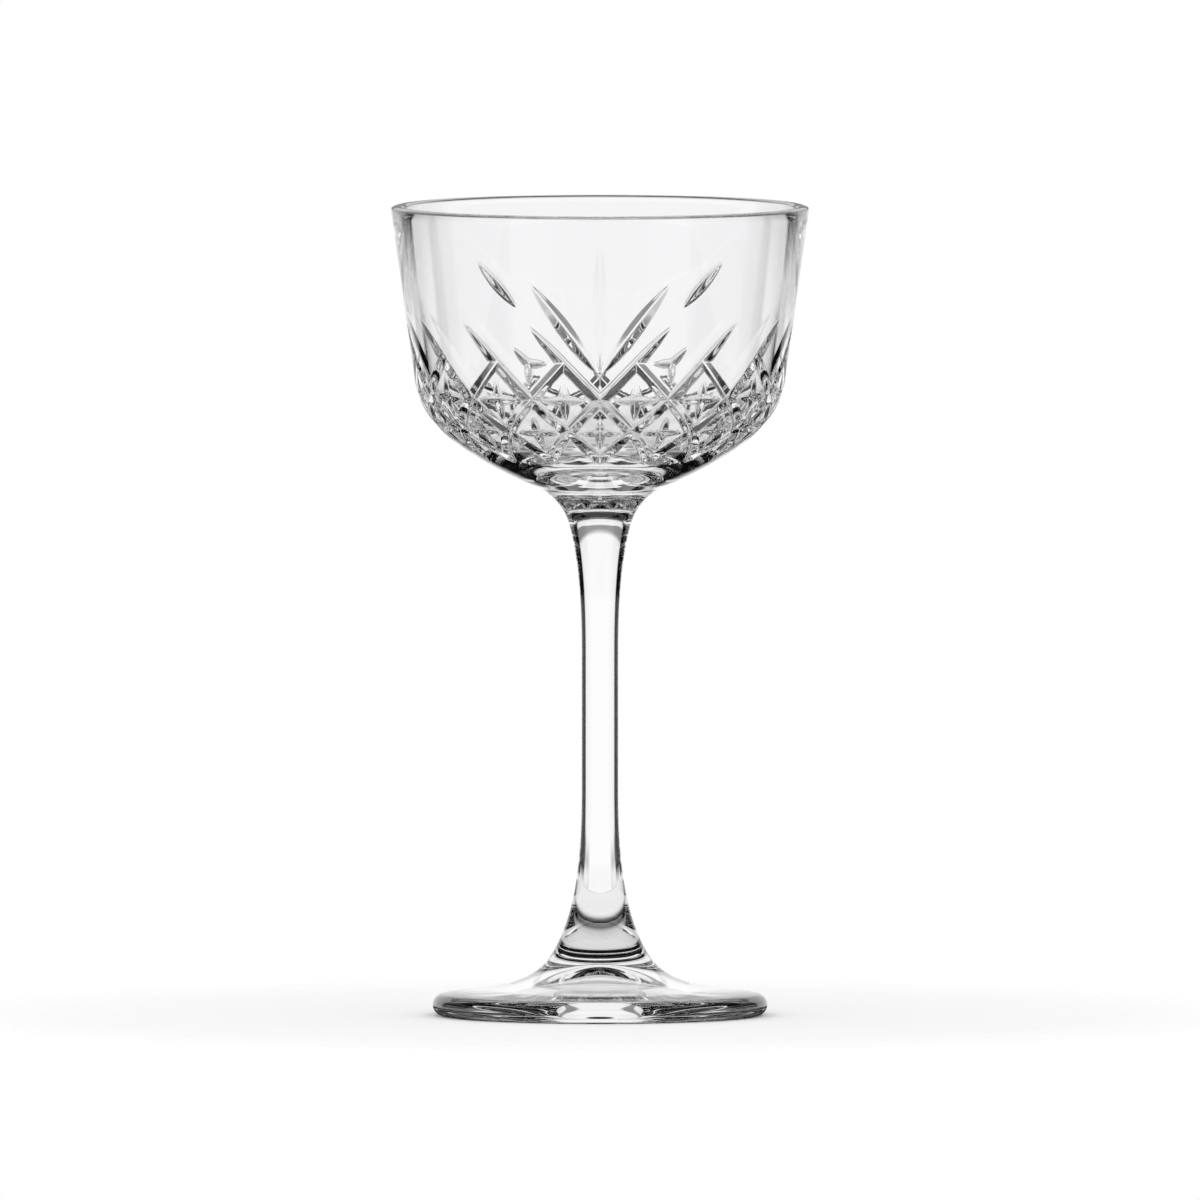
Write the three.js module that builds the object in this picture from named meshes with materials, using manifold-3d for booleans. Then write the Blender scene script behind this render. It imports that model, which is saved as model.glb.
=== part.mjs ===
// Small stemmed cocktail glass: a pressed bowl with a cut pattern, a drawn stem and a spreading foot,
// three pieces of clear glass joined hot at two flat weld faces.
// Millimetres, +Z up, the foot's resting ring on z = 0. The front of the cut pattern faces -Y.
import * as THREE from 'three';
import { mergeVertices } from 'three/addons/utils/BufferGeometryUtils.js';
import Module from 'manifold-3d';

const wasm = await Module();
wasm.setup();

// Foot. An ease is how far a curve holds its end's heading, as a share of the curve's span.
const FOOT_DIAMETER = 64;
const FOOT_HEIGHT = 12; // resting plane to the lower weld
const FOOT_EDGE_RADIUS = 2.1;
const FOOT_RING_WIDTH = 3; // flat ring that the glass stands on
const FOOT_HOLLOW_DEPTH = 7;
const FOOT_HOLLOW_EASE = 0.6;
const FOOT_CROWN_EASE = 0.2;
const FOOT_TOP_SLOPE = 9; // degrees below level at the edge
const FOOT_BRIM_EASE = 0.43;
const FOOT_RISE_EASE = 0.34;

// Stem
const STEM_LENGTH = 82; // weld to weld
const STEM_DIAMETER = 7.1;
const LOWER_WELD_DIAMETER = 18.1;
const LOWER_FLARE_ANGLE = 30.5; // degrees from upright at the lower weld
const LOWER_FLARE_SHARE = 0.4; // of the stem's length
const UPPER_WELD_DIAMETER = 11.8;
const UPPER_FLARE_ANGLE = 15.3; // degrees from upright at the upper weld
const UPPER_FLARE_SHARE = 0.35; // of the stem's length
const FLARE_EASE = 0.32;

// Bowl
const BOWL_HEIGHT = 61; // upper weld to the rim
const RIM_DIAMETER = 80;
const WALL = 2.9;
const WALL_TAPER = 8; // degrees from upright
const LIP_RISE = 0.6; // height of the rim's rounding
const SHOULDER_HEIGHT = 28; // upper weld to the foot of the straight wall
const SHOULDER_EASE = 0.23;
const BASE_DIAMETER = 23.4; // where the neck's hollow curve turns into the round base
const BASE_HEIGHT = 7; // upper weld to that turn
const BASE_SLOPE = 23.6; // degrees above level at that turn
const BASE_EASE = 0.63;
const NECK_LOWER_EASE = 0.51;
const NECK_UPPER_EASE = 0.11;
const FLOOR_THICKNESS = 4.3; // from the turn's level to the floor inside
const FLOOR_EASE = 0.54;
const INNER_SHOULDER_EASE = 0.22;

// Cut pattern on the bowl. Angles are degrees from the middle of the fan, which is at the front.
const CELLS = 16; // diamonds in each row, an even number
const FRONT_SPREAD = 90; // the pattern stands a row higher within this angle of the fan
const ROW_SHARES = [0.3, 0.57, 0.875, 1.22]; // rows of crossings, as shares of the rise from base to shoulder
const GROOVE_WIDTH = 2.1;
const GROOVE_DEPTH = 1;
const GROOVE_RUNOUT = 1; // how far a groove runs past its last crossing
const STAR_ARM = 4;
const STAR_WIDTH = 1.6;
const STAR_DEPTH = 0.75;
const SPRIG_LEAN = 0.8; // reach of a sprig's leaning arm, out and up, beside a star's arm
const LEAF_WIDTH = 3.1;
const LEAF_DEPTH = 1.1;
const SPRAY_WIDTH = 2.1; // the single leaf on each side of the fan
const SPRAY_DEPTH = 1.2;
const LEAF_MARGIN = 4; // from the rim down to the middle leaf's tip

// Places of the leaves. A climb is a share of the plain wall from the top row up to the leaf margin.
const GROOVE_TIP = { angle: 22.3, climb: 0.31 }; // end of a long groove, from its crossing in the third row
const FAN_FOOT = { angle: 0, climb: -0.1 };
const MIDDLE_LEAF_TIP = { angle: 0, climb: 1 };
const SIDE_LEAF_TIP = { angle: 21, climb: 0.64 };
const SPRAY_FOOT = { angle: 24.8, climb: 0.43 };
const SPRAY_TIP = { angle: 37.2, climb: 0.79 };

// Finish
const GLASS_COLOUR = 0xf1f3f6;
const GLASS_ROUGHNESS = 0.03;
const GLASS_OPACITY = 0.35;

// Fineness of the surfaces and of the cuts
const SEGMENTS = 48;
const CURVE_STEPS = 7;
const LIP_STEPS = 8;
const SKIN_STEPS = 60;
const GROOVE_STEPS = 2;
const LENS_STEPS = 4;
const LENS_OVERRUN = 1.1; // a cutter leaves the glass just before its path ends
const CUTTER_LIFT = 0.35; // cutters stand this far proud of the glass
const SAME_PLACE = 1e-5;

const LOWER_WELD = FOOT_HEIGHT;
const UPPER_WELD = LOWER_WELD + STEM_LENGTH;
const RIM = UPPER_WELD + BOWL_HEIGHT;
const rad = THREE.MathUtils.degToRad;
const mix = THREE.MathUtils.lerp;

// Point of a profile, as a distance from the axis and a height.
function point(radius, height) {
  return new THREE.Vector2(radius, height);
}

// Unit step in the profile plane at an angle in degrees above level, outward at 0.
function heading(angle) {
  return point(Math.cos(rad(angle)), Math.sin(rad(angle)));
}

// Curve from one point to another that leaves and arrives along the given headings.
function bend(from, leaving, fromEase, to, arriving, toEase) {
  const span = from.distanceTo(to);
  const first = from.clone().addScaledVector(heading(leaving), fromEase * span);
  const second = to.clone().addScaledVector(heading(arriving), -toEase * span);
  return new THREE.CubicBezierCurve(from, first, second, to);
}

// Profile without the points that repeat where two curves join.
function joined(...runs) {
  const points = [];
  for (const next of runs.flat()) {
    const last = points.at(-1);
    if (!last || last.distanceTo(next) > SAME_PLACE) points.push(next);
  }
  return points;
}

// Geometry with its vertices merged by place, without the triangles that shrink to nothing on the axis.
function merged(geometry) {
  geometry.deleteAttribute('normal');
  geometry.deleteAttribute('uv');
  const whole = mergeVertices(geometry, SAME_PLACE);
  const corners = whole.index.array;
  const kept = [];
  for (let i = 0; i < corners.length; i += 3) {
    const [a, b, c] = corners.slice(i, i + 3);
    if (a !== b && b !== c && c !== a) kept.push(a, b, c);
  }
  whole.setIndex(kept);
  return whole;
}

// Solid of revolution about Z from a profile that starts and ends on the axis, with its outside going up.
function revolve(points) {
  const geometry = new THREE.LatheGeometry(points, SEGMENTS);
  geometry.rotateX(Math.PI / 2);
  return merged(geometry);
}

// Foot: hollow underside, flat ring, rounded edge, and a top that rises to the lower weld.
function footGeometry() {
  const edgeRadius = FOOT_DIAMETER / 2 - FOOT_EDGE_RADIUS;
  const ringRadius = edgeRadius - FOOT_RING_WIDTH;
  const hollow = bend(
    point(0, FOOT_HOLLOW_DEPTH), 0, FOOT_CROWN_EASE,
    point(ringRadius, 0), 0, FOOT_HOLLOW_EASE,
  );
  const edge = new THREE.EllipseCurve(
    edgeRadius, FOOT_EDGE_RADIUS, FOOT_EDGE_RADIUS, FOOT_EDGE_RADIUS, -Math.PI / 2, rad(90 - FOOT_TOP_SLOPE),
  );
  const top = bend(
    edge.getPoint(1), 180 - FOOT_TOP_SLOPE, FOOT_BRIM_EASE,
    point(LOWER_WELD_DIAMETER / 2, LOWER_WELD), 90 + LOWER_FLARE_ANGLE, FOOT_RISE_EASE,
  );
  return revolve(joined(
    hollow.getPoints(CURVE_STEPS),
    edge.getPoints(LIP_STEPS),
    top.getPoints(CURVE_STEPS),
    [point(0, LOWER_WELD)],
  ));
}

// Stem: a slim rod with a flare at each end.
function stemGeometry() {
  const radius = STEM_DIAMETER / 2;
  const lower = bend(
    point(LOWER_WELD_DIAMETER / 2, LOWER_WELD), 90 + LOWER_FLARE_ANGLE, FLARE_EASE,
    point(radius, LOWER_WELD + LOWER_FLARE_SHARE * STEM_LENGTH), 90, FLARE_EASE,
  );
  const upper = bend(
    point(radius, UPPER_WELD - UPPER_FLARE_SHARE * STEM_LENGTH), 90, FLARE_EASE,
    point(UPPER_WELD_DIAMETER / 2, UPPER_WELD), 90 - UPPER_FLARE_ANGLE, FLARE_EASE,
  );
  return revolve(joined(
    [point(0, LOWER_WELD)],
    lower.getPoints(CURVE_STEPS),
    upper.getPoints(CURVE_STEPS),
    [point(0, UPPER_WELD)],
  ));
}

// Curves of the bowl from its weld round to its floor. The rim is a low half ellipse across the wall.
function bowlCurves() {
  const half = WALL / 2;
  const slope = Math.tan(rad(WALL_TAPER));
  const tilt = Math.atan(slope * LIP_RISE / half);
  const lip = new THREE.EllipseCurve(
    RIM_DIAMETER / 2 - half, RIM - LIP_RISE, half, LIP_RISE, -tilt, Math.PI - tilt,
  );
  const shoulderZ = UPPER_WELD + SHOULDER_HEIGHT;
  const downWall = (top) => point(top.x - (top.y - shoulderZ) * slope, shoulderZ);
  const shoulder = downWall(lip.getPoint(0));
  const base = point(BASE_DIAMETER / 2, UPPER_WELD + BASE_HEIGHT);
  const up = 90 - WALL_TAPER;
  return {
    neck: bend(
      point(UPPER_WELD_DIAMETER / 2, UPPER_WELD), 90 - UPPER_FLARE_ANGLE, NECK_LOWER_EASE,
      base, BASE_SLOPE, NECK_UPPER_EASE,
    ),
    base: bend(base, BASE_SLOPE, BASE_EASE, shoulder, up, SHOULDER_EASE),
    wall: new THREE.LineCurve(shoulder, lip.getPoint(0)),
    lip,
    floor: bend(
      downWall(lip.getPoint(1)), up + 180, INNER_SHOULDER_EASE,
      point(0, base.y + FLOOR_THICKNESS), 180, FLOOR_EASE,
    ),
  };
}

const bowl = bowlCurves();

// Outside of the bowl as a fine row of points from the weld to the lip, for laying out the cuts.
const skin = joined(
  bowl.neck.getPoints(SKIN_STEPS),
  bowl.base.getPoints(SKIN_STEPS),
  bowl.wall.getPoints(SKIN_STEPS),
);

// Radius and outward normal of the bowl's outside at a height above the upper weld.
function skinAt(height) {
  const z = UPPER_WELD + height;
  const i = Math.max(1, skin.findIndex((p) => p.y >= z));
  const [low, high] = [skin[i - 1], skin[i]];
  const along = point(high.x - low.x, high.y - low.y);
  const radius = low.x + along.x * (z - low.y) / along.y;
  along.normalize();
  return { radius, out: along.y, up: -along.x };
}

// Place on the bowl's outside, with its normal, at an angle from the front and a height above the weld.
function onSkin({ angle, height }) {
  const { radius, out, up } = skinAt(height);
  const side = Math.sin(rad(angle));
  const front = -Math.cos(rad(angle));
  return {
    place: new THREE.Vector3(radius * side, radius * front, UPPER_WELD + height),
    normal: new THREE.Vector3(out * side, out * front, up),
  };
}

// Closed bar between three rows of points: its left and right top edges and its keel.
function bar(left, right, keel) {
  const corners = left.flatMap((_, i) => [...left[i], ...right[i], ...keel[i]]);
  const last = 3 * (left.length - 1);
  const index = [0, 2, 1];
  for (let i = 0; i < last; i += 3) {
    for (let side = 0; side < 3; side += 1) {
      const [a, b] = [i + side, i + (side + 1) % 3];
      index.push(a, b, a + 3, b, b + 3, a + 3);
    }
  }
  index.push(last, last + 1, last + 2);
  const geometry = new THREE.BufferGeometry();
  geometry.setAttribute('position', new THREE.Float32BufferAttribute(corners, 3));
  geometry.setIndex(index);
  return geometry;
}

// Cutter of a V-shaped mitre cut along stations on the bowl. A station's share is its part of the full
// depth, and a share below zero lifts the cutter clear of the glass.
function mitreCut(stations, width, depth) {
  const flank = width / 2 / depth;
  const spots = stations.map(onSkin);
  const [left, right, keel] = [[], [], []];
  stations.forEach(({ share }, i) => {
    const { place, normal } = spots[i];
    const before = spots[Math.max(0, i - 1)].place;
    const after = spots[Math.min(spots.length - 1, i + 1)].place;
    const along = new THREE.Vector3().subVectors(after, before);
    const side = new THREE.Vector3().crossVectors(along, normal).normalize();
    const cut = Math.max(share * depth, -CUTTER_LIFT / 2);
    const reach = flank * (cut + CUTTER_LIFT);
    const top = place.clone().addScaledVector(normal, CUTTER_LIFT);
    left.push(top.clone().addScaledVector(side, -reach));
    right.push(top.clone().addScaledVector(side, reach));
    keel.push(place.clone().addScaledVector(normal, -cut));
  });
  return bar(left, right, keel);
}

// Stations between two places on the bowl, with each one's share of the depth from a function.
function stationsBetween(from, to, steps, share) {
  return Array.from({ length: steps + 1 }, (_, i) => {
    const t = i / steps;
    return { angle: mix(from.angle, to.angle, t), height: mix(from.height, to.height, t), share: share(t) };
  });
}

const full = () => 1;
const lens = (t) => 1 - LENS_OVERRUN * (2 * t - 1) ** 2;
const tapering = (t) => 1 - LENS_OVERRUN * t * t;

const cell = 360 / CELLS;
const rows = ROW_SHARES.map((share) => mix(BASE_HEIGHT, SHOULDER_HEIGHT, share));
const [, lowerStarRow, upperStarRow, topRow] = rows;

// Height of a climb up the plain wall.
function climbed(climb) {
  return mix(topRow, BOWL_HEIGHT - LEAF_MARGIN, climb);
}

// Mitre groove that climbs through the rows, leaning one way, and meets the third row at a cell's corner.
// In front it climbs to the top row, and one that leans away from the fan runs on to a long point.
function groove(corner, lean) {
  const isInFront = Math.abs(corner + lean / 2) * cell < FRONT_SPREAD;
  const crossing = (row) => ({ angle: (corner + lean * (row - 2) / 2) * cell, height: rows[row] });
  const crossings = [0, 1, 2, 3].slice(0, isInFront ? 4 : 3).map(crossing);
  const first = crossings[0];
  const last = crossings.at(-1);
  const climb = crossings.slice(1).flatMap((next, i) => (
    stationsBetween(crossings[i], next, GROOVE_STEPS, full).slice(0, -1)
  ));
  const start = { ...first, height: first.height - GROOVE_RUNOUT, share: -1 };
  const stop = { ...last, height: last.height + GROOVE_RUNOUT, share: -1 };
  const tip = { angle: corner * cell + lean * GROOVE_TIP.angle, height: climbed(GROOVE_TIP.climb) };
  const isLong = isInFront && corner * lean >= 0;
  const end = isLong ? stationsBetween(last, tip, LENS_STEPS, tapering) : [{ ...last, share: 1 }, stop];
  return mitreCut([start, ...climb, ...end], GROOVE_WIDTH, GROOVE_DEPTH);
}

// Place at a distance round and up the bowl from a given place.
function moved({ angle, height }, round, up) {
  const { radius, out } = skinAt(height);
  return { angle: angle + THREE.MathUtils.radToDeg(round / radius), height: height + up * out };
}

// Lens-shaped cut between two places.
function leaf(from, to, width, depth) {
  return mitreCut(stationsBetween(from, to, LENS_STEPS, lens), width, depth);
}

// Star of two crossed cuts in a diamond.
function star(centre) {
  const level = leaf(moved(centre, -STAR_ARM, 0), moved(centre, STAR_ARM, 0), STAR_WIDTH, STAR_DEPTH);
  const upright = leaf(moved(centre, 0, -STAR_ARM), moved(centre, 0, STAR_ARM), STAR_WIDTH, STAR_DEPTH);
  return [level, upright];
}

// Sprig of three short cuts above the top row: one down, one level and one that leans away from the fan.
function sprig(centre) {
  const lean = Math.sign(centre.angle);
  const tips = [
    moved(centre, 0, -STAR_ARM),
    moved(centre, -lean * STAR_ARM, 0),
    moved(centre, lean * SPRIG_LEAN * STAR_ARM, SPRIG_LEAN * STAR_ARM),
  ];
  return tips.map((tip) => (
    mitreCut(stationsBetween(centre, tip, LENS_STEPS / 2, tapering), STAR_WIDTH, STAR_DEPTH)
  ));
}

// Fan of three leaves, with a single leaf on each side.
function fan() {
  const at = (place, side) => ({ angle: side * place.angle, height: climbed(place.climb) });
  const cuts = [leaf(at(FAN_FOOT, 1), at(MIDDLE_LEAF_TIP, 1), LEAF_WIDTH, LEAF_DEPTH)];
  for (const side of [-1, 1]) {
    cuts.push(leaf(at(FAN_FOOT, side), at(SIDE_LEAF_TIP, side), LEAF_WIDTH, LEAF_DEPTH));
    cuts.push(leaf(at(SPRAY_FOOT, side), at(SPRAY_TIP, side), SPRAY_WIDTH, SPRAY_DEPTH));
  }
  return cuts;
}

// Cutters of the whole pattern.
function patternCutters() {
  const cuts = fan();
  for (let corner = 1 - CELLS / 2; corner <= CELLS / 2; corner += 1) {
    const angle = corner * cell;
    const between = angle + cell / 2;
    cuts.push(groove(corner, -1), groove(corner, 1), ...star({ angle, height: lowerStarRow }));
    if (Math.abs(between) < FRONT_SPREAD) cuts.push(...star({ angle: between, height: upperStarRow }));
    if (Math.abs(corner) === 1) cuts.push(...sprig({ angle, height: topRow }));
  }
  return cuts;
}

// Closed geometry as a solid that can be cut.
function solid(geometry) {
  const vertProperties = geometry.attributes.position.array;
  const triVerts = Uint32Array.from(geometry.index.array);
  return new wasm.Manifold(new wasm.Mesh({ numProp: 3, vertProperties, triVerts }));
}

// Bowl: revolved profile with the pattern cut into its outside.
function bowlGeometry() {
  const blank = revolve(joined(
    [point(0, UPPER_WELD)],
    bowl.neck.getPoints(CURVE_STEPS),
    bowl.base.getPoints(CURVE_STEPS),
    bowl.lip.getPoints(LIP_STEPS),
    bowl.floor.getPoints(CURVE_STEPS),
  ));
  const pattern = patternCutters().map(solid).reduce((whole, cut) => whole.add(cut));
  const mesh = solid(blank).subtract(pattern).getMesh();
  const geometry = new THREE.BufferGeometry();
  geometry.setAttribute('position', new THREE.BufferAttribute(mesh.vertProperties, 3));
  geometry.setIndex(new THREE.BufferAttribute(mesh.triVerts, 1));
  return geometry;
}

const glass = new THREE.Group();

// Each piece is a mesh of clear glass.
function addPiece(name, geometry) {
  const material = new THREE.MeshStandardMaterial({
    color: GLASS_COLOUR,
    roughness: GLASS_ROUGHNESS,
    metalness: 0,
    transparent: true,
    opacity: GLASS_OPACITY,
  });
  const piece = new THREE.Mesh(geometry, material);
  piece.name = name;
  glass.add(piece);
}

addPiece('foot', footGeometry());
addPiece('stem', stemGeometry());
addPiece('bowl', bowlGeometry());

export default glass;
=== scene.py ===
"""Stemmed cocktail glass in clear pressed glass: a bowl with a cut pattern, a drawn stem and a round foot.

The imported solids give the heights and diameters. Lengths are in millimetres until a mesh is made."""
import math

import bpy
import numpy as np
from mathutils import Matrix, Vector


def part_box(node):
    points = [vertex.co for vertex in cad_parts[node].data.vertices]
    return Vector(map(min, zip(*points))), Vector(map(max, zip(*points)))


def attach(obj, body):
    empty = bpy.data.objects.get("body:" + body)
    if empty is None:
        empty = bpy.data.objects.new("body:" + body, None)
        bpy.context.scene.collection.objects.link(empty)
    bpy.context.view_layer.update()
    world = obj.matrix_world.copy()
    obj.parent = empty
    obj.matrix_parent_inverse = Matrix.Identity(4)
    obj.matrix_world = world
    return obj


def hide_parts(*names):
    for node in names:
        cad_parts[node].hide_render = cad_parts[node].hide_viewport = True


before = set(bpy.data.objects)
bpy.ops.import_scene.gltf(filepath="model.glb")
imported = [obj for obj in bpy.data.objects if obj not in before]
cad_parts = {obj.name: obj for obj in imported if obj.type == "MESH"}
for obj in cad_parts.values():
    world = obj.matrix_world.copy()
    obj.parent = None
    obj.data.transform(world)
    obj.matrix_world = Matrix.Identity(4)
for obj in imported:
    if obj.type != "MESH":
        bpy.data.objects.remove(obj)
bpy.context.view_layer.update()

MM = 0.001

# Profile of the foot
FOOT_EDGE_RADIUS = 2.1
FOOT_RING_WIDTH = 3.0
FOOT_HOLLOW_DEPTH = 7.0
FOOT_HOLLOW_EASE = 0.6
FOOT_CROWN_EASE = 0.2
FOOT_TOP_SLOPE = 9.0
FOOT_BRIM_EASE = 0.43
FOOT_RISE_EASE = 0.34

# Profile of the stem
STEM_DIAMETER = 7.1
LOWER_FLARE_ANGLE = 30.5
LOWER_FLARE_SHARE = 0.4
UPPER_WELD_DIAMETER = 11.8
UPPER_FLARE_ANGLE = 15.3
UPPER_FLARE_SHARE = 0.35
FLARE_EASE = 0.32

# Profile of the bowl
WALL = 2.9
WALL_TAPER = 8.0
LIP_RISE = 0.6
SHOULDER_HEIGHT = 28.0
SHOULDER_EASE = 0.23
BASE_DIAMETER = 23.4
BASE_HEIGHT = 7.0
BASE_SLOPE = 23.6
BASE_EASE = 0.63
NECK_LOWER_EASE = 0.51
NECK_UPPER_EASE = 0.11
FLOOR_THICKNESS = 4.3
FLOOR_EASE = 0.54
INNER_SHOULDER_EASE = 0.22

# Cut pattern. Angles are degrees from the middle of the fan, which is at the front.
CELLS = 16
FRONT_SPREAD = 90
ROW_SHARES = (0.3, 0.57, 0.875, 1.22)
GROOVE_WIDTH = 2.1
GROOVE_DEPTH = 1.0
GROOVE_RUNOUT = 1.0
STAR_ARM = 4.0
STAR_WIDTH = 1.6
STAR_DEPTH = 0.75
SPRIG_LEAN = 0.8
LEAF_WIDTH = 3.1
LEAF_DEPTH = 1.1
SPRAY_WIDTH = 2.1
SPRAY_DEPTH = 1.2
LEAF_MARGIN = 4.0
EDGE_SOFTNESS = 0.12
KEEL_SOFTNESS = 0.08
# Ends of the cuts above the top row: the angle, and the share of the climb to the leaf margin
GROOVE_TIP = (22.3, 0.31)
FAN_FOOT = (0.0, -0.1)
MIDDLE_LEAF_TIP = (0.0, 1.0)
SIDE_LEAF_TIP = (21.0, 0.64)
SPRAY_FOOT = (24.8, 0.43)
SPRAY_TIP = (37.2, 0.79)

# Fineness of the meshes
FINE_COLUMNS = 1152
COARSE_COLUMNS = 288
RELIEF_STEP = 0.19
CURVE_STEPS = 40
LIP_STEPS = 20
PATH_STEPS = 24
CROSSING_STEPS = 8
RUNOUT_STEPS = 4
SCREEN_STEPS = 72
SLOPE_REACH = 0.05
SAME_PLACE = 1e-6
# A little less than the bowl's radius at any cut
LEAST_CUT_RADIUS = 20.0

# Look of the glass, in metres
GLASS_COLOUR = (0.992, 0.99, 0.998, 1)
GLASS_IOR = 1.5
WAVE_SCALE = 60.0
WAVE_DETAIL = 1.0
WAVE_HEIGHT = 0.00003
SCUFF_SCALE = 900.0
WORN_HEIGHTS = (0.00003, 0.0001)
WORN_ROUGHNESS = 0.3

# Camera at the photograph's angle, and the frame's width
VIEW_ELEVATION = 3.1
VIEW_WIDTH = 229.4
VIEW_CENTRE = 79.5
VIEW_DISTANCE = 1500.0

# What the glass sees round it: white panels with dark flags between them, by degrees round from the back
DARK = 0.004
BACK_PANEL = ((0, 1.0), (16, 1.0), (30, 0.93), (37, 0.85), (40, DARK))
OTHER_PANELS = ((73, DARK), (77, 0.95), (148, 0.9), (180, 0.85))

# Brightness of the back panel and of the others by degrees above level, and the turn where they change over
BACK_RISE = ((-12, 1.0), (24, 1.0), (30, DARK), (90, DARK))
OTHER_RISE = ((-12, 1.0), (8, 1.0), (14, DARK), (90, DARK))
OTHER_EDGE = (45, 55)

# Brightness of the table by degrees above level: at the back, and in sectors from given turns on
STEEP_DARK = ((-90, 0.5), (-66, 0.5), (-58, DARK))
STEEP_LIGHT = ((-90, 0.5), (-66, 0.5), (-60, 0.1), (-42, 0.1), (-34, 1.0))
TABLE_BACK = STEEP_DARK + ((-40, DARK), (-32, 0.6), (-18, 0.8), (-10, 1.0))
TABLE_SECTORS = (
    ((6, 10), STEEP_DARK + ((-20, DARK), (-15, 0.6), (-10, 1.0))),
    ((19, 25), STEEP_DARK + ((-19, DARK), (-15, 0.9), (-12, 0.9), (-10, 0.5), (-6, 1.0))),
    ((32, 37), STEEP_LIGHT + ((-16, 1.0), (-12, DARK), (0, DARK))),
    ((53, 58), STEEP_DARK + ((0, DARK),)),
    ((73, 77), STEEP_DARK + ((-20, DARK), (-14, 1.0), (0, 1.0))),
    ((118, 123), STEEP_LIGHT + ((0, 1.0),)),
    ((148, 153), ((-90, 0.5), (-60, 0.3), (-34, 0.85), (0, 0.85))))
TABLE_EDGE = (-8, -5)

# Screens that only the glass shows, in metres: one round it above the rim, one low behind the foot
HIGH_SCREEN_RADIUS = 0.35
HIGH_SCREEN_TURN = 180
HIGH_SCREEN_RISE = (
    (0.155, 1.0), (0.16, 1.0), (0.17, 0.3), (0.2, 0.3), (0.21, 0.95), (0.45, 0.95), (0.48, DARK), (1.0, DARK))
LOW_SCREEN_RADIUS = 0.09
LOW_SCREEN_TURN = 19
LOW_SCREEN_RISE = ((0.0, 1.0), (0.025, 1.0))
LOW_PANEL = ((0, 1.0), (LOW_SCREEN_TURN, 1.0))

# Floor, in metres, with what the glass shows of it by distance from the middle of the foot: painted shadow,
# an emission that is dimmer under the foot and dark in a ring round the foot's edge
FLOOR_HALF = 1.0
FLOOR_COLOUR = (0.97, 0.97, 0.97, 1)
FLOOR_LIFT = 0.03
FLOOR_FADE = (0.095, 0.135)
FLOOR_SHOWN_PAINTED_SHADOW = (
    (0.0, 0.75), (0.014, 0.75), (0.024, 0.45), (0.027, DARK), (0.042, DARK), (0.048, 0.9), (0.1, 0.9))
FLOOR_SHOWN_FADE = (0.086, 0.092)
WHITE = (1, 1, 1, 1)
LIGHT_BOUNCES = 40

bowl_low, bowl_high = (np.array(corner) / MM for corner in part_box("bowl"))
stem_low, stem_high = (np.array(corner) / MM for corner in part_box("stem"))
foot_low, foot_high = (np.array(corner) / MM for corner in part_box("foot"))
RIM_DIAMETER = bowl_high[0] - bowl_low[0]
FOOT_DIAMETER = foot_high[0] - foot_low[0]
LOWER_WELD_DIAMETER = stem_high[0] - stem_low[0]
LOWER_WELD = stem_low[2]
UPPER_WELD = stem_high[2]
RIM = bowl_high[2]
BOWL_HEIGHT = RIM - UPPER_WELD
STEM_LENGTH = UPPER_WELD - LOWER_WELD


def heading(angle):
    """Unit step in the profile plane at an angle in degrees above level, outward at 0."""
    return np.array([math.cos(math.radians(angle)), math.sin(math.radians(angle))])


def bend(start, leaving, start_ease, end, arriving, end_ease, steps=CURVE_STEPS):
    """Points of a curve that leaves and arrives along the given headings."""
    start = np.array(start)
    end = np.array(end)
    span = np.hypot(*(end - start))
    first = start + start_ease * span * heading(leaving)
    second = end - end_ease * span * heading(arriving)
    t = np.linspace(0, 1, steps + 1)[:, None]
    return (1 - t) ** 3 * start + 3 * (1 - t) ** 2 * t * first + 3 * (1 - t) * t * t * second + t ** 3 * end


def arc(centre, radii, first, last, steps=LIP_STEPS):
    """Points of an ellipse's arc between two angles in degrees."""
    angle = np.radians(np.linspace(first, last, steps + 1))
    return np.array(centre) + np.array(radii) * np.stack([np.cos(angle), np.sin(angle)], axis=1)


def joined(*runs):
    """Profile without the points that repeat where two runs join."""
    points = np.concatenate(runs)
    steps = np.hypot(*np.diff(points, axis=0).T)
    return points[np.concatenate([[True], steps > SAME_PLACE])]


def foot_profile():
    """From the middle of the underside, round the edge, to the rim of the lower weld."""
    edge_radius = FOOT_DIAMETER / 2 - FOOT_EDGE_RADIUS
    ring_radius = edge_radius - FOOT_RING_WIDTH
    hollow = bend((0, FOOT_HOLLOW_DEPTH), 0, FOOT_CROWN_EASE, (ring_radius, 0), 0, FOOT_HOLLOW_EASE)
    edge_radii = (FOOT_EDGE_RADIUS, FOOT_EDGE_RADIUS)
    edge = arc((edge_radius, FOOT_EDGE_RADIUS), edge_radii, -90, 90 - FOOT_TOP_SLOPE)
    weld = (LOWER_WELD_DIAMETER / 2, LOWER_WELD)
    top = bend(edge[-1], 180 - FOOT_TOP_SLOPE, FOOT_BRIM_EASE, weld, 90 + LOWER_FLARE_ANGLE, FOOT_RISE_EASE)
    return joined(hollow, edge, top)


def stem_profile():
    """From the rim of the lower weld to the rim of the upper weld."""
    radius = STEM_DIAMETER / 2
    lower_end = (radius, LOWER_WELD + LOWER_FLARE_SHARE * STEM_LENGTH)
    upper_start = (radius, UPPER_WELD - UPPER_FLARE_SHARE * STEM_LENGTH)
    lower_weld = (LOWER_WELD_DIAMETER / 2, LOWER_WELD)
    upper_weld = (UPPER_WELD_DIAMETER / 2, UPPER_WELD)
    lower = bend(lower_weld, 90 + LOWER_FLARE_ANGLE, FLARE_EASE, lower_end, 90, FLARE_EASE)
    upper = bend(upper_start, 90, FLARE_EASE, upper_weld, 90 - UPPER_FLARE_ANGLE, FLARE_EASE)
    return joined(lower, upper)


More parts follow.
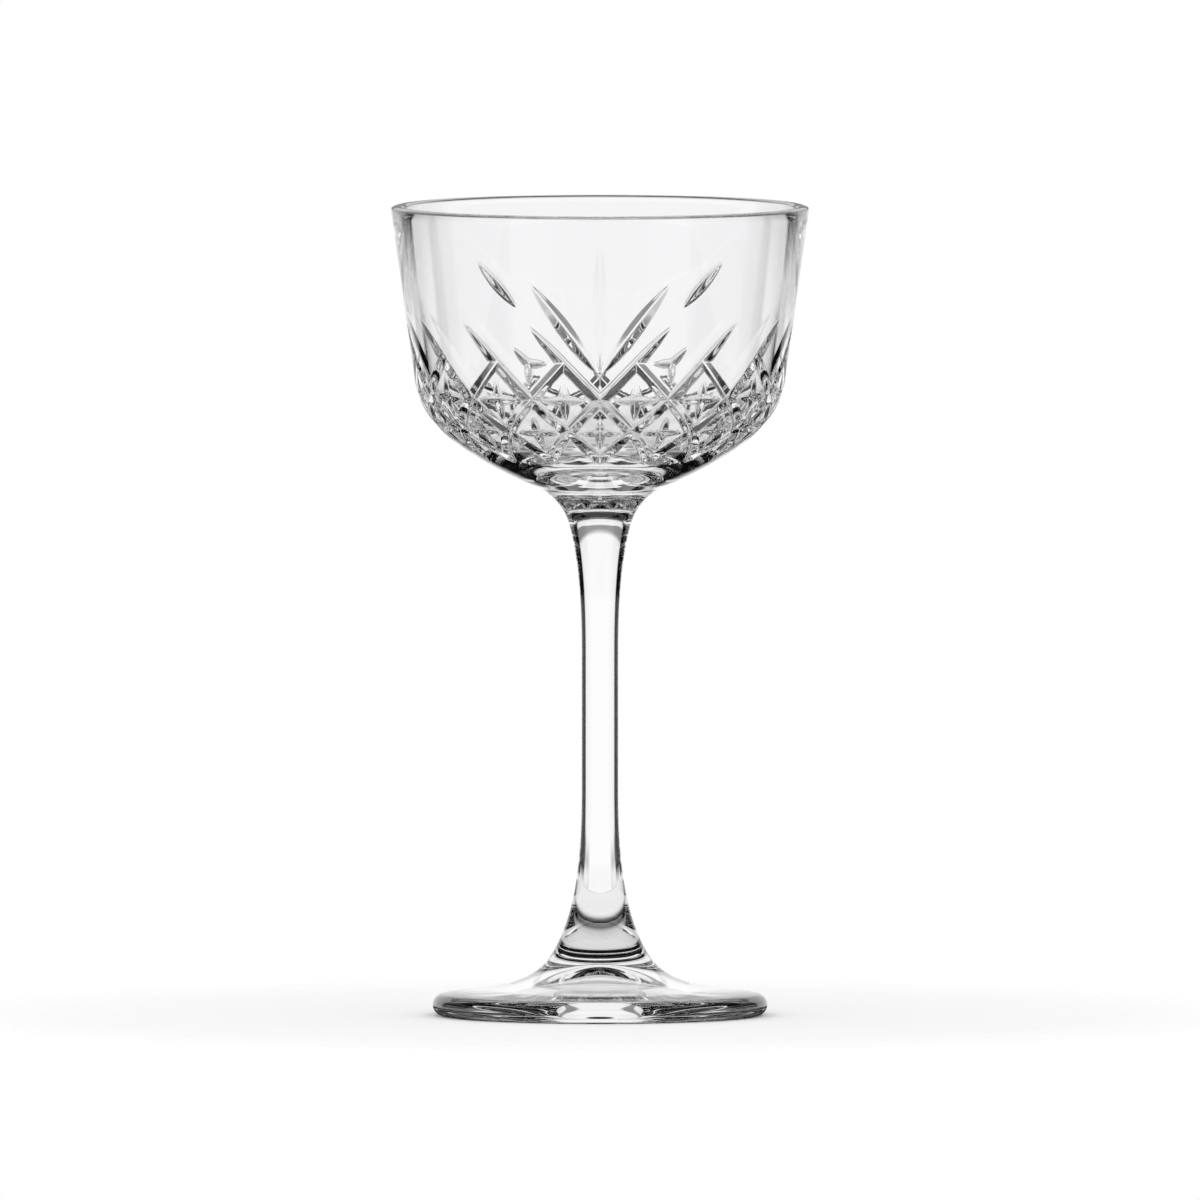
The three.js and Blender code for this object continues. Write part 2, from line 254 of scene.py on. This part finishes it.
def bowl_profiles():
    """Outside from the weld to the lip, the lip, and the inside from the lip to the middle of the floor."""
    half = WALL / 2
    slope = math.tan(math.radians(WALL_TAPER))
    tilt = math.degrees(math.atan(slope * LIP_RISE / half))
    lip = arc((RIM_DIAMETER / 2 - half, RIM - LIP_RISE), (half, LIP_RISE), -tilt, 180 - tilt)
    shoulder_z = UPPER_WELD + SHOULDER_HEIGHT

    def down_wall(top):
        return np.array([top[0] - (top[1] - shoulder_z) * slope, shoulder_z])

    base = (BASE_DIAMETER / 2, UPPER_WELD + BASE_HEIGHT)
    weld = (UPPER_WELD_DIAMETER / 2, UPPER_WELD)
    up = 90 - WALL_TAPER
    neck = bend(weld, 90 - UPPER_FLARE_ANGLE, NECK_LOWER_EASE, base, BASE_SLOPE, NECK_UPPER_EASE)
    round_base = bend(base, BASE_SLOPE, BASE_EASE, down_wall(lip[0]), up, SHOULDER_EASE)
    floor = bend(
        down_wall(lip[-1]), up + 180, INNER_SHOULDER_EASE,
        (0, base[1] + FLOOR_THICKNESS), 180, FLOOR_EASE)
    return joined(neck, round_base, lip[:1]), lip, joined(lip[-1:], floor)


SKIN, LIP, INSIDE = bowl_profiles()
ROWS = [BASE_HEIGHT + share * (SHOULDER_HEIGHT - BASE_HEIGHT) for share in ROW_SHARES]
CELL = 360 / CELLS


def skin_at(height):
    """Radius of the bowl's outside and the upward share of its slope, at heights above the upper weld."""
    z = np.asarray(height) + UPPER_WELD
    radius = np.interp(z, SKIN[:, 1], SKIN[:, 0])
    low = np.interp(z - SLOPE_REACH, SKIN[:, 1], SKIN[:, 0])
    high = np.interp(z + SLOPE_REACH, SKIN[:, 1], SKIN[:, 0])
    return radius, 2 * SLOPE_REACH / np.hypot(high - low, 2 * SLOPE_REACH)


def on_skin(angle, height):
    """Places on the bowl's outside, in millimetres."""
    radius = skin_at(height)[0]
    turn = np.radians(angle)
    return np.stack([radius * np.sin(turn), -radius * np.cos(turn), np.asarray(height) + UPPER_WELD], axis=-1)


def lens(t):
    """Depth of a cut that is deepest in its middle."""
    return 1 - (2 * t - 1) ** 2


def tapering(t):
    """Depth of a cut that runs out to a point."""
    return 1 - t * t


def run(start, end, share, steps=PATH_STEPS):
    """Stations between two places: angle, height and share of the depth."""
    t = np.linspace(0, 1, steps + 1)
    angle = start[0] + (end[0] - start[0]) * t
    height = start[1] + (end[1] - start[1]) * t
    return np.stack([angle, height, share(t)], axis=1)


def climbed(climb):
    """Height at a share of the plain wall from the top row up to the leaf margin."""
    return ROWS[3] + climb * (BOWL_HEIGHT - LEAF_MARGIN - ROWS[3])


def moved(centre, along, up):
    """Place at a distance round and up the bowl from a given place."""
    radius, climb = skin_at(centre[1])
    return centre[0] + math.degrees(along / radius), centre[1] + up * climb


def groove(corner, lean):
    """Mitre groove up the rows: a row higher in front, and longer there if it leans away from the fan."""
    in_front = abs(corner + lean / 2) * CELL < FRONT_SPREAD
    places = [((corner + lean * (row - 2) / 2) * CELL, ROWS[row]) for row in range(4 if in_front else 3)]
    first, last = places[0], places[-1]
    parts = [run((first[0], first[1] - GROOVE_RUNOUT), first, lambda t: 2 * t - 1, RUNOUT_STEPS)]
    parts += [run(low, high, np.ones_like, CROSSING_STEPS) for low, high in zip(places, places[1:])]
    if in_front and corner * lean >= 0:
        tip = (corner * CELL + lean * GROOVE_TIP[0], climbed(GROOVE_TIP[1]))
        parts.append(run(last, tip, tapering))
    else:
        parts.append(run(last, (last[0], last[1] + GROOVE_RUNOUT), lambda t: 1 - 2 * t, RUNOUT_STEPS))
    return np.concatenate(parts), GROOVE_WIDTH, GROOVE_DEPTH


def star(centre):
    """Two crossed cuts in a diamond."""
    level = run(moved(centre, -STAR_ARM, 0), moved(centre, STAR_ARM, 0), lens)
    upright = run(moved(centre, 0, -STAR_ARM), moved(centre, 0, STAR_ARM), lens)
    return [(level, STAR_WIDTH, STAR_DEPTH), (upright, STAR_WIDTH, STAR_DEPTH)]


def sprig(centre):
    """Three short cuts above the top row: one down, one level and one that leans away from the fan."""
    lean = math.copysign(1, centre[0])
    reach = SPRIG_LEAN * STAR_ARM
    arms = ((0, -STAR_ARM), (-lean * STAR_ARM, 0), (lean * reach, reach))
    tips = [moved(centre, along, up) for along, up in arms]
    return [(run(centre, tip, tapering), STAR_WIDTH, STAR_DEPTH) for tip in tips]


def fan():
    """Three leaves, with a single leaf on each side."""
    def at(place, side):
        return side * place[0], climbed(place[1])

    cuts = [(run(at(FAN_FOOT, 1), at(MIDDLE_LEAF_TIP, 1), lens), LEAF_WIDTH, LEAF_DEPTH)]
    for side in (-1, 1):
        cuts.append((run(at(FAN_FOOT, side), at(SIDE_LEAF_TIP, side), lens), LEAF_WIDTH, LEAF_DEPTH))
        cuts.append((run(at(SPRAY_FOOT, side), at(SPRAY_TIP, side), lens), SPRAY_WIDTH, SPRAY_DEPTH))
    return cuts


def pattern():
    """Every cut: its stations, width and depth."""
    cuts = fan()
    for corner in range(1 - CELLS // 2, CELLS // 2 + 1):
        angle = corner * CELL
        cuts += [groove(corner, -1), groove(corner, 1)]
        cuts += star((angle, ROWS[1]))
        if abs(angle + CELL / 2) < FRONT_SPREAD:
            cuts += star((angle + CELL / 2, ROWS[2]))
        if abs(corner) == 1:
            cuts += sprig((angle, ROWS[3]))
    return cuts


def nearest(points, path):
    """Distance of points from a path, and where along it the nearest station lies."""
    start = path[:-1]
    step = path[1:] - start
    squares = np.maximum((step * step).sum(1), SAME_PLACE ** 2)
    t = np.einsum("pnk,nk->pn", points[:, None] - start, step) / squares
    t = t.clip(0, 1)
    gap = points[:, None] - start - t[..., None] * step
    far = (gap * gap).sum(2)
    best = far.argmin(1)
    row = np.arange(len(points))
    return np.sqrt(far[row, best]), best + t[row, best]


def softer_max(a, b):
    """Larger of two depths, with the crease between them rounded."""
    blend = np.maximum(EDGE_SOFTNESS - np.abs(a - b), 0) / EDGE_SOFTNESS
    return np.maximum(a, b) + blend * blend * EDGE_SOFTNESS / 4


def relief(angles, heights, places):
    """Depth of the pattern over a grid of places, one row per height and one column per angle."""
    depth_map = np.zeros(places.shape[:2])
    for stations, width, depth in pattern():
        margin = width
        rows = np.flatnonzero(
            (heights > stations[:, 1].min() - margin) & (heights < stations[:, 1].max() + margin))
        middle = (stations[:, 0].min() + stations[:, 0].max()) / 2
        spread = np.ptp(stations[:, 0]) / 2 + math.degrees(margin / LEAST_CUT_RADIUS)
        columns = np.flatnonzero(np.abs((angles - middle + 180) % 360 - 180) < spread)
        window = np.ix_(rows, columns)
        gap, where = nearest(places[window].reshape(-1, 3), on_skin(stations[:, 0], stations[:, 1]))
        share = np.interp(where, np.arange(len(stations)), stations[:, 2])
        rounded = np.sqrt(gap * gap + KEEL_SOFTNESS ** 2) - KEEL_SOFTNESS
        cut = share * depth - rounded * depth / (width / 2)
        depth_map[window] = softer_max(depth_map[window], cut.reshape(depth_map[window].shape))
    return depth_map


def ring(radius, height, columns):
    """Circle of points round the axis, the first one at the front."""
    angle = np.radians(np.arange(columns) * 360 / columns)
    return np.stack([radius * np.sin(angle), -radius * np.cos(angle), np.full(columns, height)], axis=1)


def added(name, data):
    """New object in the scene."""
    made = bpy.data.objects.new(name, data)
    bpy.context.collection.objects.link(made)
    return made


def mesh_of_rings(name, rings, first_apex, last_apex, clear_ends, materials):
    """Closed mesh through a pile of rings, with a fan to an apex at each end. A ring may have a whole number
    of times as many points as its neighbour. clear_ends says which end fans get the second material."""
    starts = np.cumsum([0] + [len(points) for points in rings])
    points = np.concatenate(rings + [np.array([first_apex, last_apex])]) * MM
    first, last = starts[-1], starts[-1] + 1
    faces = []

    def around(i, j):
        return starts[i] + j % len(rings[i])

    bottom = [(first, around(0, j + 1), around(0, j)) for j in range(len(rings[0]))]
    for i in range(len(rings) - 1):
        below, above = len(rings[i]), len(rings[i + 1])
        coarse = min(below, above)
        for j in range(coarse):
            low = [around(i, j * below // coarse + k) for k in range(below // coarse + 1)]
            high = [around(i + 1, j * above // coarse + k) for k in range(above // coarse + 1)]
            faces.append(low + high[::-1])
    end = len(rings) - 1
    top = [(around(end, j), around(end, j + 1), last) for j in range(len(rings[end]))]
    mesh = bpy.data.meshes.new(name)
    mesh.from_pydata(points, [], bottom + faces + top)
    mesh.shade_smooth()
    slots = [int(clear_ends[0])] * len(bottom) + [0] * len(faces) + [int(clear_ends[1])] * len(top)
    for material in materials:
        mesh.materials.append(material)
    mesh.polygons.foreach_set("material_index", slots)
    mark_ends_sharp(mesh, starts, clear_ends)
    return added(name, mesh)


def mark_ends_sharp(mesh, starts, clear_ends):
    """A weld face meets the outside at a crisp edge."""
    pairs = np.empty(2 * len(mesh.edges), dtype=int)
    mesh.edges.foreach_get("vertices", pairs)
    pairs = pairs.reshape(-1, 2)
    sharp = np.zeros(len(mesh.edges), dtype=bool)
    spans = ((starts[0], starts[1]), (starts[-2], starts[-1]))
    for is_clear, (low, high) in zip(clear_ends, spans):
        if is_clear:
            sharp |= ((pairs >= low) & (pairs < high)).all(axis=1)
    mesh.edges.foreach_set("use_edge_sharp", sharp)


def cut_rings():
    """Rings of the bowl's outside in the patterned zone, sunk by the pattern."""
    length = np.concatenate([[0], np.cumsum(np.hypot(*np.diff(SKIN, axis=0).T))])
    low = np.interp(UPPER_WELD + ROWS[0] - 2 * GROOVE_RUNOUT, SKIN[:, 1], length)
    high = np.interp(RIM - LEAF_MARGIN / 2, SKIN[:, 1], length)
    stops = np.linspace(low, high, int((high - low) / RELIEF_STEP))
    radius = np.interp(stops, length, SKIN[:, 0])
    z = np.interp(stops, length, SKIN[:, 1])
    slope = np.gradient(np.stack([radius, z], axis=1), axis=0)
    slope /= np.hypot(*slope.T)[:, None]
    angles = np.arange(FINE_COLUMNS) * 360 / FINE_COLUMNS
    places = np.stack([ring(r, h, FINE_COLUMNS) for r, h in zip(radius, z)])
    depth = relief(angles, z - UPPER_WELD, places)
    turn = np.radians(angles)
    side = np.stack([np.sin(turn), -np.cos(turn), np.zeros_like(turn)], axis=1)
    normal = slope[:, 1, None, None] * side - slope[:, 0, None, None] * np.array([0, 0, 1.0])
    return places - depth[..., None] * normal


def coarse_rings(profile):
    return [ring(radius, height, COARSE_COLUMNS) for radius, height in profile]


def make_bowl(materials):
    cut = cut_rings()
    lowest, highest = cut[0, 0, 2], cut[-1, 0, 2]
    below = SKIN[SKIN[:, 1] < lowest - RELIEF_STEP]
    above = SKIN[SKIN[:, 1] > highest + RELIEF_STEP]
    rings = coarse_rings(below) + list(cut) + coarse_rings(joined(above, LIP, INSIDE[:-1]))
    floor = (0, 0, INSIDE[-1, 1])
    return mesh_of_rings("bowl_glass", rings, (0, 0, UPPER_WELD), floor, (True, False), materials)


def make_stem(materials):
    rings = coarse_rings(stem_profile())
    return mesh_of_rings("stem_glass", rings, (0, 0, LOWER_WELD), (0, 0, UPPER_WELD), (True, True), materials)


def make_foot(materials):
    profile = foot_profile()
    rings = coarse_rings(profile[1:])
    apex = (0, 0, profile[0, 1])
    return mesh_of_rings("foot_glass", rings, apex, (0, 0, LOWER_WELD), (False, True), materials)


def glass_material():
    """Clear pressed glass with a faint cool cast, slow waves in its skin and a scuffed resting ring."""
    material = bpy.data.materials.new("clear_glass")
    material.use_nodes = True
    tree = material.node_tree
    shader = tree.nodes["Principled BSDF"]
    shader.inputs["Base Color"].default_value = GLASS_COLOUR
    shader.inputs["IOR"].default_value = GLASS_IOR
    shader.inputs["Transmission Weight"].default_value = 1.0
    place = tree.nodes.new("ShaderNodeTexCoord").outputs["Object"]

    waves = tree.nodes.new("ShaderNodeTexNoise")
    waves.inputs["Scale"].default_value = WAVE_SCALE
    waves.inputs["Detail"].default_value = WAVE_DETAIL
    tree.links.new(place, waves.inputs["Vector"])
    bump = tree.nodes.new("ShaderNodeBump")
    bump.inputs["Distance"].default_value = WAVE_HEIGHT
    tree.links.new(waves.outputs["Fac"], bump.inputs["Height"])
    tree.links.new(bump.outputs["Normal"], shader.inputs["Normal"])

    scuffs = tree.nodes.new("ShaderNodeTexNoise")
    scuffs.inputs["Scale"].default_value = SCUFF_SCALE
    tree.links.new(place, scuffs.inputs["Vector"])
    height = tree.nodes.new("ShaderNodeSeparateXYZ")
    tree.links.new(place, height.inputs["Vector"])
    worn = tree.nodes.new("ShaderNodeMapRange")
    tree.links.new(height.outputs["Z"], worn.inputs["Value"])
    worn.inputs["From Min"].default_value = WORN_HEIGHTS[0]
    worn.inputs["From Max"].default_value = WORN_HEIGHTS[1]
    worn.inputs["To Min"].default_value = WORN_ROUGHNESS
    worn.inputs["To Max"].default_value = 0.0
    rough = tree.nodes.new("ShaderNodeMath")
    rough.operation = "MULTIPLY"
    tree.links.new(worn.outputs["Result"], rough.inputs[0])
    tree.links.new(scuffs.outputs["Fac"], rough.inputs[1])
    tree.links.new(rough.outputs["Value"], shader.inputs["Roughness"])
    return material


def weld_material():
    """Fused face between two pieces: no boundary for light."""
    material = bpy.data.materials.new("fused_face")
    material.use_nodes = True
    tree = material.node_tree
    tree.nodes.remove(tree.nodes["Principled BSDF"])
    clear = tree.nodes.new("ShaderNodeBsdfTransparent")
    tree.links.new(clear.outputs["BSDF"], tree.nodes["Material Output"].inputs["Surface"])
    return material


class Tree:
    """Node tree with short calls for the nodes used here."""

    def __init__(self, tree):
        self.tree = tree
        tree.nodes.clear()

    def node(self, kind, *inputs, **settings):
        made = self.tree.nodes.new(kind)
        for name, value in settings.items():
            setattr(made, name, value)
        for socket, value in zip(made.inputs, inputs):
            self.put(socket, value)
        return made

    def put(self, socket, value):
        if isinstance(value, bpy.types.NodeSocket):
            self.tree.links.new(value, socket)
        else:
            socket.default_value = value

    def math(self, operation, *inputs):
        return self.node("ShaderNodeMath", *inputs, operation=operation).outputs[0]

    def parts_of(self, coordinates):
        """X, Y and Z of the texture coordinates of a given kind."""
        place = self.node("ShaderNodeTexCoord").outputs[coordinates]
        return self.node("ShaderNodeSeparateXYZ", place).outputs

    def past(self, edge, value):
        """From 0 to 1 as a value passes an edge."""
        step = self.node("ShaderNodeMapRange", value, *edge, 0.0, 1.0, interpolation_type="SMOOTHSTEP")
        return step.outputs["Result"]

    def ramp(self, factor, stops):
        """Grey ramp through (place, brightness) stops."""
        node = self.node("ShaderNodeValToRGB", factor)
        elements = node.color_ramp.elements
        while len(elements) < len(stops):
            elements.new(0.5)
        for element, (place, _) in zip(elements, stops):
            element.position = place
        for element, (_, brightness) in zip(elements, stops):
            element.color = (brightness, brightness, brightness, 1)
        return node.outputs["Color"]

    def blend(self, factor, first, second, kind="MIX"):
        mix = self.node("ShaderNodeMix", data_type="RGBA", blend_type=kind)
        for name, value in (("Factor", factor), ("A", first), ("B", second)):
            self.put(mix.inputs[name], value)
        return mix.outputs["Result"]

    def multiply(self, first, second):
        return self.blend(1.0, first, second, "MULTIPLY")

    def turn_of(self, way):
        """Degrees round from the back, to either side."""
        return self.math("DEGREES", self.math("ABSOLUTE", self.math("ARCTAN2", way["X"], way["Y"])))

    def by_turn(self, turn, stops):
        return self.ramp(self.math("DIVIDE", turn, 180), [(angle / 180, value) for angle, value in stops])

    def by_rise(self, rise, stops):
        share = self.math("ADD", self.math("DIVIDE", rise, 180), 0.5)
        return self.ramp(share, [(angle / 180 + 0.5, value) for angle, value in stops])


def staging_tree(mesh):
    """Nodes of a new material for a staging mesh."""
    material = bpy.data.materials.new(mesh.name)
    material.use_nodes = True
    mesh.materials.append(material)
    return Tree(material.node_tree)


def make_camera():
    """Parallel view from the photograph's angle."""
    camera = bpy.data.cameras.new("camera")
    camera.type = "ORTHO"
    camera.ortho_scale = VIEW_WIDTH * MM
    rig = added("camera", camera)
    tilt = math.radians(VIEW_ELEVATION)
    back = VIEW_DISTANCE * MM
    rig.location = (0, -back * math.cos(tilt), VIEW_CENTRE * MM + back * math.sin(tilt))
    rig.rotation_euler = (math.radians(90 - VIEW_ELEVATION), 0, 0)
    bpy.context.scene.camera = rig


def make_world():
    """White for the camera and for the floor's light, panels and table for what the glass shows."""
    world = bpy.data.worlds.new("studio")
    bpy.context.scene.world = world
    world.use_nodes = True
    tree = Tree(world.node_tree)
    way = tree.parts_of("Generated")
    turn = tree.turn_of(way)
    rise = tree.math("DEGREES", tree.math("ARCSINE", way["Z"]))
    height = tree.blend(
        tree.past(OTHER_EDGE, turn), tree.by_rise(rise, BACK_RISE), tree.by_rise(rise, OTHER_RISE))
    panels = tree.multiply(tree.by_turn(turn, BACK_PANEL + OTHER_PANELS), height)
    table = tree.by_rise(rise, TABLE_BACK)
    for edge, stops in TABLE_SECTORS:
        table = tree.blend(tree.past(edge, turn), table, tree.by_rise(rise, stops))
    studio = tree.blend(tree.past(TABLE_EDGE, rise), table, panels)
    rays = tree.node("ShaderNodeLightPath").outputs
    plain = tree.math("MAXIMUM", rays["Is Camera Ray"], rays["Is Diffuse Ray"])
    light = tree.node("ShaderNodeBackground", tree.blend(plain, studio, WHITE))
    tree.node("ShaderNodeOutputWorld", light.outputs[0])


def make_screen(name, radius, rise, panel, half_turn):
    """Upright round screen with brightness by height and turn, from the back to half_turn on either side."""
    angles = np.radians(np.linspace(-half_turn, half_turn, SCREEN_STEPS + 1))
    around = [(radius * math.sin(angle), radius * math.cos(angle)) for angle in angles]
    corners = [(*place, height) for height in (rise[0][0], rise[-1][0]) for place in around]
    count = len(around)
    mesh = bpy.data.meshes.new(name)
    mesh.from_pydata(corners, [], [(i, i + 1, count + i + 1, count + i) for i in range(count - 1)])
    screen = added(name, mesh)
    tree = staging_tree(mesh)
    place = tree.parts_of("Object")
    colour = tree.multiply(tree.by_turn(tree.turn_of(place), panel), tree.ramp(place["Z"], rise))
    tree.node("ShaderNodeOutputMaterial", tree.node("ShaderNodeEmission", colour).outputs[0])
    screen.visible_camera = False
    screen.visible_diffuse = False
    screen.visible_shadow = False


def make_floor():
    """White floor that takes the glass's shadow for the camera and fades into the white world a little way
    off. What the glass shows of it is an emission with painted shadow: dimmer under the foot and dark in a
    ring round its edge.
    """
    half = FLOOR_HALF
    corners = [(-half, -half, 0), (half, -half, 0), (half, half, 0), (-half, half, 0)]
    mesh = bpy.data.meshes.new("floor")
    mesh.from_pydata(corners, [], [(0, 1, 2, 3)])
    floor = added("floor", mesh)
    tree = staging_tree(mesh)
    place = tree.node("ShaderNodeTexCoord").outputs["Object"]
    distance = tree.node("ShaderNodeVectorMath", place, operation="LENGTH").outputs["Value"]
    rays = tree.node("ShaderNodeLightPath").outputs
    through = tree.math("MAXIMUM", rays["Is Glossy Ray"], rays["Is Transmission Ray"])
    fade = tree.blend(through, tree.past(FLOOR_FADE, distance), tree.past(FLOOR_SHOWN_FADE, distance))
    matt = tree.node("ShaderNodeBsdfDiffuse", FLOOR_COLOUR)
    lift = tree.node("ShaderNodeEmission", WHITE, FLOOR_LIFT)
    plain = tree.node("ShaderNodeAddShader", matt.outputs[0], lift.outputs[0])
    # Painted shadow: the glass sees the floor as an emission that is dimmer under the foot and dark in a ring
    # round its edge
    painted_shadow = tree.node("ShaderNodeEmission", tree.ramp(distance, FLOOR_SHOWN_PAINTED_SHADOW))
    either = tree.node("ShaderNodeMixShader", through, plain.outputs[0], painted_shadow.outputs[0])
    clear = tree.node("ShaderNodeBsdfTransparent")
    faded = tree.node("ShaderNodeMixShader", fade, either.outputs[0], clear.outputs[0])
    tree.node("ShaderNodeOutputMaterial", faded.outputs[0])


glass = [glass_material(), weld_material()]
for piece, node in ((make_bowl(glass), "bowl"), (make_stem(glass), "stem"), (make_foot(glass), "foot")):
    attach(piece, "root")
    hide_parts(node)

make_camera()
make_world()
make_screen("high_screen", HIGH_SCREEN_RADIUS, HIGH_SCREEN_RISE, BACK_PANEL, HIGH_SCREEN_TURN)
make_screen("low_screen", LOW_SCREEN_RADIUS, LOW_SCREEN_RISE, LOW_PANEL, LOW_SCREEN_TURN)
make_floor()
cycles = bpy.context.scene.cycles
cycles.max_bounces = LIGHT_BOUNCES
cycles.transmission_bounces = LIGHT_BOUNCES
cycles.transparent_max_bounces = LIGHT_BOUNCES
cycles.glossy_bounces = LIGHT_BOUNCES
bpy.context.scene.view_settings.view_transform = "Standard"
